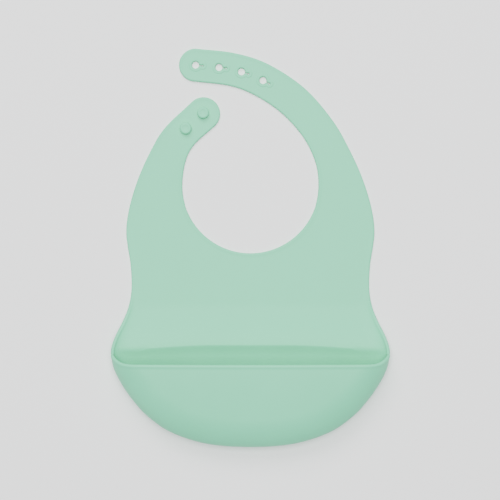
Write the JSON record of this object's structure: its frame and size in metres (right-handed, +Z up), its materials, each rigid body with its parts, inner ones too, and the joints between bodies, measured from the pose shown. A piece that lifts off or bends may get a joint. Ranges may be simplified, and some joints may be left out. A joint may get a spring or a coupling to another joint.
{
  "type": "silicone bib",
  "caption": "Baby bib moulded in soft silicone, with a deep catch pocket and a neck strap that fastens by studs pushed through keyholes.",
  "frame": {"origin": "on the table under the middle of the bib's box, with the bib lying on its back", "axes": "+Y from the pocket to the neck straps, +Z up from the table, +X towards the long strap's side"},
  "size_m": [0.216, 0.3104, 0.0355],
  "materials": {
    "silicone": "matt, smooth, pale sage green"
  },
  "bodies": {
    "root": {"lower_chest": "silicone", "pocket_back": "silicone", "pocket_gusset": "silicone"},
    "pocket_front": {"pocket_front": "silicone", "pocket_lip": "silicone"},
    "chest": {"chest_panel": "silicone"},
    "long_strap_1": {"long_strap_1": "silicone"},
    "long_strap_2": {"long_strap_2": "silicone"},
    "long_strap_3": {"long_strap_3": "silicone"},
    "long_strap_4": {"long_strap_4": "silicone"},
    "long_strap_5": {"long_strap_5": "silicone"},
    "short_strap_1": {"short_strap_1": "silicone"},
    "short_strap_2": {"short_strap_2": "silicone"},
    "short_strap_3": {"short_strap_3": "silicone", "stud_1": "silicone", "stud_2": "silicone"}
  },
  "joints": [
    {"name": "pocket_front_flex", "type": "hinge", "parent": "root", "child": "pocket_front", "pos_m": [0, -0.146, 0.014], "axis": [1, 0, 0], "range_deg": [-15, 14], "stiffness_Nm_per_rad": 0.25, "springref_deg": 1.55, "deforming": ["pocket_gusset"]},
    {"name": "chest_fold", "type": "hinge", "parent": "root", "child": "chest", "pos_m": [0, -0.045, 0.001], "axis": [1, 0, 0], "range_deg": [-50, 100], "stiffness_Nm_per_rad": 0.02},
    {"name": "long_strap_1_flex", "type": "hinge", "parent": "chest", "child": "long_strap_1", "pos_m": [0.07345, 0.03, 0.001], "axis": [-0.991, 0.1342, 0], "range_deg": [-24, 34], "stiffness_Nm_per_rad": 0.001},
    {"name": "long_strap_2_flex", "type": "hinge", "parent": "long_strap_1", "child": "long_strap_2", "pos_m": [0.06624, 0.06625, 0.001], "axis": [-0.9548, -0.2972, 0], "range_deg": [-24, 34], "stiffness_Nm_per_rad": 0.001},
    {"name": "long_strap_3_flex", "type": "hinge", "parent": "long_strap_2", "child": "long_strap_3", "pos_m": [0.04811, 0.09879, 0.001], "axis": [-0.8478, -0.5304, 0], "range_deg": [-24, 34], "stiffness_Nm_per_rad": 0.001},
    {"name": "long_strap_4_flex", "type": "hinge", "parent": "long_strap_3", "child": "long_strap_4", "pos_m": [0.01983, 0.12448, 0.001], "axis": [-0.5435, -0.8394, 0], "range_deg": [-24, 34], "stiffness_Nm_per_rad": 0.001},
    {"name": "long_strap_5_flex", "type": "hinge", "parent": "long_strap_4", "child": "long_strap_5", "pos_m": [-0.0143, 0.13885, 0.001], "axis": [-0.1312, -0.9914, 0], "range_deg": [-24, 34], "stiffness_Nm_per_rad": 0.001},
    {"name": "short_strap_1_flex", "type": "hinge", "parent": "chest", "child": "short_strap_1", "pos_m": [-0.07345, 0.03, 0.001], "axis": [-0.991, -0.1342, 0], "range_deg": [-24, 34], "stiffness_Nm_per_rad": 0.001},
    {"name": "short_strap_2_flex", "type": "hinge", "parent": "short_strap_1", "child": "short_strap_2", "pos_m": [-0.06891, 0.05804, 0.001], "axis": [-0.9846, 0.1748, 0], "range_deg": [-24, 34], "stiffness_Nm_per_rad": 0.001},
    {"name": "short_strap_3_flex", "type": "hinge", "parent": "short_strap_2", "child": "short_strap_3", "pos_m": [-0.05758, 0.0838, 0.001], "axis": [-0.8903, 0.4554, 0], "range_deg": [-24, 34], "stiffness_Nm_per_rad": 0.001}
  ]
}
